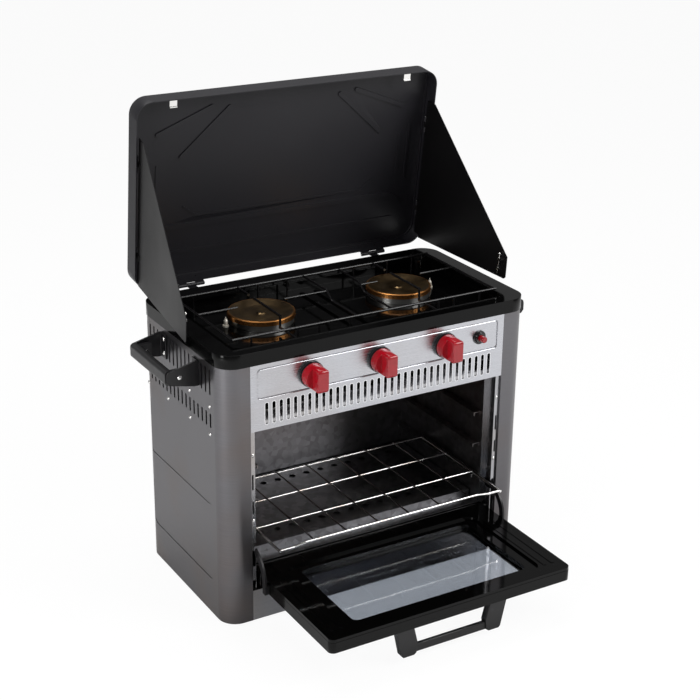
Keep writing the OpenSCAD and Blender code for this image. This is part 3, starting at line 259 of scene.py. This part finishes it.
def aluminisedSteel(name, piece):
    material, tree, place = startMaterial(name)
    crystals = addNode(tree, "ShaderNodeTexVoronoi", {"Vector": place, "Scale": perMetre(piece["spangle"])})
    tint = addNode(tree, "ShaderNodeMix",
                   {"Factor": crystals.outputs["Color"], 6: linear(piece["dark"]), 7: linear(piece["sheet"])},
                   data_type="RGBA")
    split = addNode(tree, "ShaderNodeSeparateXYZ", {"Vector": place})
    smoke = addNode(tree, "ShaderNodeTexNoise",
                    {"Vector": place, "Scale": perMetre(piece["smoke"]), "Detail": 4.0})
    cool, hot = piece["highTintFromTo"]
    rise = addNode(tree, "ShaderNodeMapRange",
                   {"Value": split.outputs["Z"], "From Min": mm(cool), "From Max": mm(hot)})
    amount = addNode(tree, "ShaderNodeMath", {0: rise, 1: smoke}, operation="MULTIPLY")
    # partly painted reflection: the brown rises towards the roof in clouds
    highTinted = addNode(tree, "ShaderNodeMix", {"Factor": amount, 6: tint.outputs[2], 7: linear(piece["highTint"])},
                      data_type="RGBA")
    return finishMaterial(material, {"Base Color": highTinted.outputs[2], "Metallic": 1.0,
                                     "Roughness": piece["roughness"]})


setSlots(["back_panel", "base_pan", "door_brackets"], aluminisedSteel("aluminised_steel_outer", outerSheet))
setSlots(["oven_liner", "rack_ledges", "oven_floor_plate"],
         aluminisedSteel("aluminised_steel_oven", innerSheet))
print("sheet metal done")

# Cooktop and door: vitreous enamel fired on pressed steel.
# To the eye: deep wet black with sharp reflections and a slight ripple.
cooktopEnamel = {
    "colour": "#030303",
    "ripple": 12,       # mm between the soft waves of the fired glass
    "rippleDepth": 0.5,    # mm
    "roughness": 0.1,
    "specular": 0.15,
}
doorEnamel = dict(cooktopEnamel, roughness=0.07)


def vitreousEnamel(name, piece):
    material, tree, place = startMaterial(name)
    waves = addNode(tree, "ShaderNodeTexNoise",
                    {"Vector": place, "Scale": perMetre(piece["ripple"]), "Detail": 1.0})
    bump = addNode(tree, "ShaderNodeBump",
                   {"Strength": 0.05, "Distance": mm(piece["rippleDepth"]), "Height": waves})
    return finishMaterial(material, {"Base Color": linear(piece["colour"]), "Roughness": piece["roughness"],
                                     "IOR": 1.5, "Specular IOR Level": piece["specular"], "Normal": bump})


setSlots(["cooktop"], vitreousEnamel("vitreous_enamel_cooktop", cooktopEnamel))
setSlots(["door_outer_panel", "door_inner_liner"], vitreousEnamel("vitreous_enamel_door", doorEnamel))

# Lid, windscreens, grate, hinges and door handle: polyester powder coat, baked.
# To the eye: satin charcoal with the faint orange peel of melted powder.
lidCoat = {
    "colour": "#1d1c20",
    "peel": 1.1,        # mm between the dimples
    "peelDepth": 0.2,   # mm
    "drift": 167,       # mm between duller and shinier areas
    "driftRange": 0.06,
    "roughness": 0.42,
    "specular": 0.35,
}
# painted shade: the windscreens take a darker copy of the lid's coat for the shade inside the lid
shadedWindscreenCoat = dict(lidCoat, colour="#0b0a0b", specular=0.2)
wireCoat = dict(lidCoat, colour="#0e0d0e", roughness=0.25, specular=0.5)    # thicker and glossier
bracketCoat = dict(lidCoat, colour="#100f11", roughness=0.34)


def powderCoat(name, piece):
    material, tree, place = startMaterial(name)
    peel = addNode(tree, "ShaderNodeTexNoise",
                   {"Vector": place, "Scale": perMetre(piece["peel"]), "Detail": 2.0})
    broad = addNode(tree, "ShaderNodeTexNoise",
                    {"Vector": place, "Scale": perMetre(piece["drift"]), "Detail": 3.0})
    shiny, dull = piece["roughness"] - piece["driftRange"], piece["roughness"] + piece["driftRange"]
    rough = addNode(tree, "ShaderNodeMapRange",
                    {"Value": broad, "To Min": shiny, "To Max": dull, **noiseSpan})
    bump = addNode(tree, "ShaderNodeBump",
                   {"Strength": 0.08, "Distance": mm(piece["peelDepth"]), "Height": peel})
    return finishMaterial(material, {"Base Color": linear(piece["colour"]), "Roughness": rough, "IOR": 1.5,
                                     "Specular IOR Level": piece["specular"], "Normal": bump})


setSlots(["lid_shell", "windscreen_leaves", "lid_hinge_leaves", "body_hinge_leaves"],
         powderCoat("powder_coated_lid", lidCoat))
setSlots(["left_windscreen", "right_windscreen"], powderCoat("powder_coated_windscreen_painted_shade", shadedWindscreenCoat))
setSlots(["grate"], powderCoat("enamelled_grate_wire", wireCoat))
setSlots(["handle_brackets", "door_arms", "door_handle"], powderCoat("powder_coated_brackets", bracketCoat))

# Knobs and igniter button: glossy red injection-moulded ABS.
# To the eye: saturated red, clean highlights, a trace of flow marks.
redPlastic = {
    "colour": "#a3061a",
    "deep": "#86040f",
    "flow": 11.1,          # mm between flow marks
    "flowDepth": 0.4,      # mm
    "roughness": 0.16,
    "gloss": 0.08,         # weight and roughness of the clear skin on the moulding
}


def mouldedRed(piece):
    material, tree, place = startMaterial("red_moulded_abs")
    flow = addNode(tree, "ShaderNodeTexNoise",
                   {"Vector": place, "Scale": perMetre(piece["flow"]), "Detail": 2.0})
    mix = addNode(tree, "ShaderNodeMix",
                  {"Factor": flow, 6: linear(piece["deep"]), 7: linear(piece["colour"])},
                  data_type="RGBA")
    bump = addNode(tree, "ShaderNodeBump",
                   {"Strength": 0.04, "Distance": mm(piece["flowDepth"]), "Height": flow})
    return finishMaterial(material, {"Base Color": mix.outputs[2], "Roughness": piece["roughness"],
                                     "IOR": 1.53, "Coat Weight": piece["gloss"],
                                     "Coat Roughness": piece["gloss"], "Normal": bump})


setSlots(["knob_left", "knob_middle", "knob_right", "igniter_button"], mouldedRed(redPlastic))

# Grips: glass-filled nylon, moulded in a fine spark-eroded texture.
# To the eye: soft black with a broad dull highlight.
gripNylon = {
    "colour": "#161517",
    "texture": 0.5,        # mm grit of the mould
    "textureDepth": 0.1,   # mm
    "roughness": 0.4,
}
bezelPlastic = dict(gripNylon, roughness=0.2, texture=3)    # polished mould: black and glossy
footRubber = dict(gripNylon, colour="#1a1a1a", roughness=0.7)    # pressed rubber: matt, a shade paler


def mouldedBlack(name, piece):
    material, tree, place = startMaterial(name)
    grit = addNode(tree, "ShaderNodeTexNoise",
                   {"Vector": place, "Scale": perMetre(piece["texture"]), "Detail": 2.0})
    bump = addNode(tree, "ShaderNodeBump",
                   {"Strength": 0.18, "Distance": mm(piece["textureDepth"]), "Height": grit})
    return finishMaterial(material, {"Base Color": linear(piece["colour"]), "Roughness": piece["roughness"],
                                     "IOR": 1.52, "Normal": bump})


setSlots(["handle_grips"], mouldedBlack("glass_filled_nylon", gripNylon))
setSlots(["knob_bezels", "igniter_bezel", "igniter_body"], mouldedBlack("gloss_black_abs", bezelPlastic))
setSlots(["rubber_feet", "door_glass_seal"], mouldedBlack("black_rubber", footRubber))
print("coatings and plastics done")

# Rack, rivets, pins and catches: bright nickel and chrome plating over steel.
# To the eye: mirror silver with small brown heat stains on the rack.
hardwarePlate = {
    "colour": "#d9d8d6",
    "stain": "#9c8468",
    "stainSize": 35,    # mm
    "stainShare": 0.15,
    "roughness": 0.13,
}
rackPlate = dict(hardwarePlate, stainShare=0.6)
valveBrass = dict(hardwarePlate, colour="#b8955a", stain="#8a6b3c", stainShare=0.5,    # turned, dull gold
                  roughness=0.25)


def brightMetal(name, piece):
    material, tree, place = startMaterial(name)
    patches = addNode(tree, "ShaderNodeTexNoise",
                      {"Vector": place, "Scale": perMetre(piece["stainSize"]), "Detail": 3.0})
    amount = addNode(tree, "ShaderNodeMapRange",
                     {"Value": patches, "To Max": piece["stainShare"], **patchSpan})
    mix = addNode(tree, "ShaderNodeMix",
                  {"Factor": amount, 6: linear(piece["colour"]), 7: linear(piece["stain"])},
                  data_type="RGBA")
    return finishMaterial(material,
                          {"Base Color": mix.outputs[2], "Metallic": 1.0, "Roughness": piece["roughness"]})


setSlots(["oven_rack"], brightMetal("chrome_plated_wire", rackPlate))
setSlots(["frame_rivets", "side_rivets", "handle_screws", "door_pins", "door_handle_screws", "lid_hinge_pins",
          "lid_catches", "windscreen_pins", "left_stay", "right_stay"],
         brightMetal("nickel_plated_steel", hardwarePlate))
setSlots(["stem_left", "stem_middle", "stem_right", "valve_bodies", "gas_inlet"],
         brightMetal("turned_brass", valveBrass))

# Burner caps: cast and turned brass that has been fired many times.
# To the eye: dull olive bronze in turned rings, coppery bright around the ports.
capPiece = {
    "bronze": "#8a7351",
    "dark": "#5b4a36",
    "copper": "#c98a4e",
    "copperFromTo": (48, 51.5),    # mm from the middle of a cap
    "stain": 25,        # mm
    "ring": 1.6,        # mm between turning marks
    "ringDepth": 0.2,   # mm
    "roughnessFromTo": (0.22, 0.42),
}


def firedBrass(piece, capX, capY):
    material, tree, place = startMaterial("fired_turned_brass")
    split = addNode(tree, "ShaderNodeSeparateXYZ", {"Vector": place})
    side = addNode(tree, "ShaderNodeMath", {0: split.outputs["X"]}, operation="ABSOLUTE")
    offset = addNode(tree, "ShaderNodeMath", {0: side, 1: capX}, operation="SUBTRACT")
    depth = addNode(tree, "ShaderNodeMath", {0: split.outputs["Y"], 1: capY}, operation="SUBTRACT")
    flat = addNode(tree, "ShaderNodeCombineXYZ", {"X": offset, "Y": depth})
    radius = addNode(tree, "ShaderNodeVectorMath", {0: flat}, operation="LENGTH").outputs["Value"]
    turns = addNode(tree, "ShaderNodeMath",
                    {0: radius, 1: 2 * math.pi * perMetre(piece["ring"])}, operation="MULTIPLY")
    marks = addNode(tree, "ShaderNodeMath", {0: turns}, operation="SINE")
    stains = addNode(tree, "ShaderNodeTexNoise",
                     {"Vector": place, "Scale": perMetre(piece["stain"]), "Detail": 4.0})
    body = addNode(tree, "ShaderNodeMix",
                   {"Factor": stains, 6: linear(piece["dark"]), 7: linear(piece["bronze"])},
                   data_type="RGBA")
    start, end = piece["copperFromTo"]
    edge = addNode(tree, "ShaderNodeMapRange", {"Value": radius, "From Min": mm(start), "From Max": mm(end)})
    mix = addNode(tree, "ShaderNodeMix", {"Factor": edge, 6: body.outputs[2], 7: linear(piece["copper"])},
                  data_type="RGBA")
    smooth, coarse = piece["roughnessFromTo"]
    rough = addNode(tree, "ShaderNodeMapRange", {"Value": stains, "To Min": smooth, "To Max": coarse})
    bump = addNode(tree, "ShaderNodeBump",
                   {"Strength": 0.1, "Distance": mm(piece["ringDepth"]), "Height": marks})
    return finishMaterial(material, {"Base Color": mix.outputs[2], "Metallic": 1.0, "Roughness": rough,
                                     "Normal": bump})


capLow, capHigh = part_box("burner_caps")
burnerX = capHigh.x - (capHigh.y - capLow.y) / 2
burnerY = (capHigh.y + capLow.y) / 2
setSlots(["burner_caps"], firedBrass(capPiece, burnerX, burnerY))

# Burner bases and gas pipes: die-cast aluminium, left raw.
# To the eye: pale silver with a grainy skin.
castPiece = {
    "colour": "#c4c3c0",
    "grain": 0.9,        # mm
    "grainDepth": 0.2,   # mm
    "roughness": 0.32,
}


def castAluminium(piece):
    material, tree, place = startMaterial("die_cast_aluminium")
    grain = addNode(tree, "ShaderNodeTexNoise",
                    {"Vector": place, "Scale": perMetre(piece["grain"]), "Detail": 3.0})
    bump = addNode(tree, "ShaderNodeBump",
                   {"Strength": 0.2, "Distance": mm(piece["grainDepth"]), "Height": grain})
    return finishMaterial(material, {"Base Color": linear(piece["colour"]), "Metallic": 1.0,
                                     "Roughness": piece["roughness"], "Normal": bump})


setSlots(["burner_bowls", "burner_tubes", "gas_manifold", "oven_burner"], castAluminium(castPiece))

# Electrodes: glazed alumina.
# To the eye: clean china white with a soft gloss.
ceramicPiece = {
    "glaze": "#efece4",
    "mark": "#cfc4ae",
    "markSize": 6.25,    # mm
    "roughness": 0.18,
}


def glazedAlumina(piece):
    material, tree, place = startMaterial("glazed_alumina")
    soot = addNode(tree, "ShaderNodeTexNoise", {"Vector": place, "Scale": perMetre(piece["markSize"])})
    mix = addNode(tree, "ShaderNodeMix",
                  {"Factor": soot, 6: linear(piece["glaze"]), 7: linear(piece["mark"])},
                  data_type="RGBA")
    return finishMaterial(material,
                          {"Base Color": mix.outputs[2], "Roughness": piece["roughness"], "IOR": 1.6})


setSlots(["electrodes"], glazedAlumina(ceramicPiece))

# Door panes: tempered soda-lime float glass, grey tinted.
# To the eye: smoky and reflective, pale floor showing through the lower part.
glassPiece = {
    "tint": "#c6cad0",
    "smear": 55.6,         # mm between wiping marks
    "smearFromTo": (0.45, 0.8),
    "roughnessFromTo": (0.02, 0.1),
}


def temperedGlass(piece):
    material, tree, place = startMaterial("tempered_float_glass")
    smears = addNode(tree, "ShaderNodeTexNoise",
                     {"Vector": place, "Scale": perMetre(piece["smear"]), "Detail": 3.0})
    low, high = piece["smearFromTo"]
    clean, wiped = piece["roughnessFromTo"]
    rough = addNode(tree, "ShaderNodeMapRange",
                    {"Value": smears, "From Min": low, "From Max": high, "To Min": clean, "To Max": wiped})
    return finishMaterial(material, {"Base Color": linear(piece["tint"]), "Roughness": rough, "IOR": 1.52,
                                     "Transmission Weight": 1.0})


setSlots(["door_inner_glass", "door_outer_glass"], temperedGlass(glassPiece))
print("metals, ceramic and glass done")

# Edges, as tooling and coating leave them
softEdge = {
    "sheet": 0.4,       # mm
    "moulded": 0.8,     # mm
    "weld": 0.01,       # mm within which points are joined first
    "sharpest": 40,     # degrees; blunter corners stay as they are
    "segments": 2,
}


def softenEdges(names, width):
    for name in names:
        weld = nodes[name].modifiers.new("weld", "WELD")
        weld.merge_threshold = mm(softEdge["weld"])
        bevel = nodes[name].modifiers.new("softEdge", "BEVEL")
        bevel.width = mm(width)
        bevel.segments = softEdge["segments"]
        bevel.limit_method = "ANGLE"
        bevel.angle_limit = math.radians(softEdge["sharpest"])


softenEdges(["cooktop", "door_outer_panel", "door_inner_liner", "lid_shell", "left_windscreen",
             "right_windscreen"], softEdge["sheet"])
softenEdges(["knob_left", "knob_middle", "knob_right", "handle_brackets", "door_handle"], softEdge["moulded"])
print("edges softened")

# Floor, world and lamps: a white product studio
studio = {
    "floor": "#fafafa",
    "halfFloor": 6,        # m
    "floorGlow": 0.94,     # share of plain white that the camera sees on the floor
    "ambient": 0.3,        # world strength that lights the object
    "aim": (0, 0.0812, 0.25),    # m, the middle of the body
    "lamps": {  # place in m, width and height in m, power in W
        "keyBox": ((1.5, -1.62, 1.9), (1.4, 1.4), 48),       # large soft box high on the right
        "leftStrip": ((-2.0, -0.52, 1.0), (0.5, 1.8), 26),
        "topBox": ((0.0, 0.48, 2.3), (1.6, 1.0), 26),
    },
}


def seenDirectly(tree):  # 1 for rays that show the background: from the camera or through glass
    path = addNode(tree, "ShaderNodeLightPath")
    return addNode(tree, "ShaderNodeMath",
                   {0: path.outputs["Is Camera Ray"], 1: path.outputs["Is Transmission Ray"]},
                   operation="MAXIMUM")


def makeFloor():
    half = studio["halfFloor"]
    mesh = bpy.data.meshes.new("studioFloor")
    corners = [(-half, -half, 0), (half, -half, 0), (half, half, 0), (-half, half, 0)]
    mesh.from_pydata(corners, [], [(0, 1, 2, 3)])
    floor = bpy.data.objects.new("studioFloor", mesh)
    bpy.context.scene.collection.objects.link(floor)
    material = bpy.data.materials.new("studio_floor")
    material.use_nodes = True
    tree = material.node_tree
    tree.nodes.clear()
    matt = addNode(tree, "ShaderNodeBsdfDiffuse", {"Color": linear(studio["floor"])})
    white = addNode(tree, "ShaderNodeEmission", {"Color": (1, 1, 1, 1), "Strength": 1.0})
    share = addNode(tree, "ShaderNodeMath",
                    {0: seenDirectly(tree), 1: studio["floorGlow"]}, operation="MULTIPLY")
    mix = addNode(tree, "ShaderNodeMixShader", {0: share, 1: matt, 2: white})
    addNode(tree, "ShaderNodeOutputMaterial", {"Surface": mix})
    mesh.materials.append(material)


def makeWorld():
    world = bpy.data.worlds.new("studioWorld")
    bpy.context.scene.world = world
    world.use_nodes = True
    tree = world.node_tree
    tree.nodes.clear()
    strength = addNode(tree, "ShaderNodeMapRange",
                       {"Value": seenDirectly(tree), "To Min": studio["ambient"], "To Max": 1.0})
    sky = addNode(tree, "ShaderNodeBackground", {"Color": (1, 1, 1, 1), "Strength": strength})
    addNode(tree, "ShaderNodeOutputWorld", {"Surface": sky})


def softBox(name, place, size, power):
    data = bpy.data.lights.new(name, "AREA")
    data.shape = "RECTANGLE"
    data.size, data.size_y = size
    data.energy = power
    lamp = bpy.data.objects.new(name, data)
    direction = Vector(studio["aim"]) - Vector(place)
    lamp.rotation_euler = direction.to_track_quat("-Z", "Y").to_euler()
    lamp.location = place
    bpy.context.scene.collection.objects.link(lamp)


makeFloor()
makeWorld()
for lampName, lampFacts in studio["lamps"].items():
    softBox(lampName, *lampFacts)
bpy.context.scene.view_settings.view_transform = "Standard"
print("studio done")
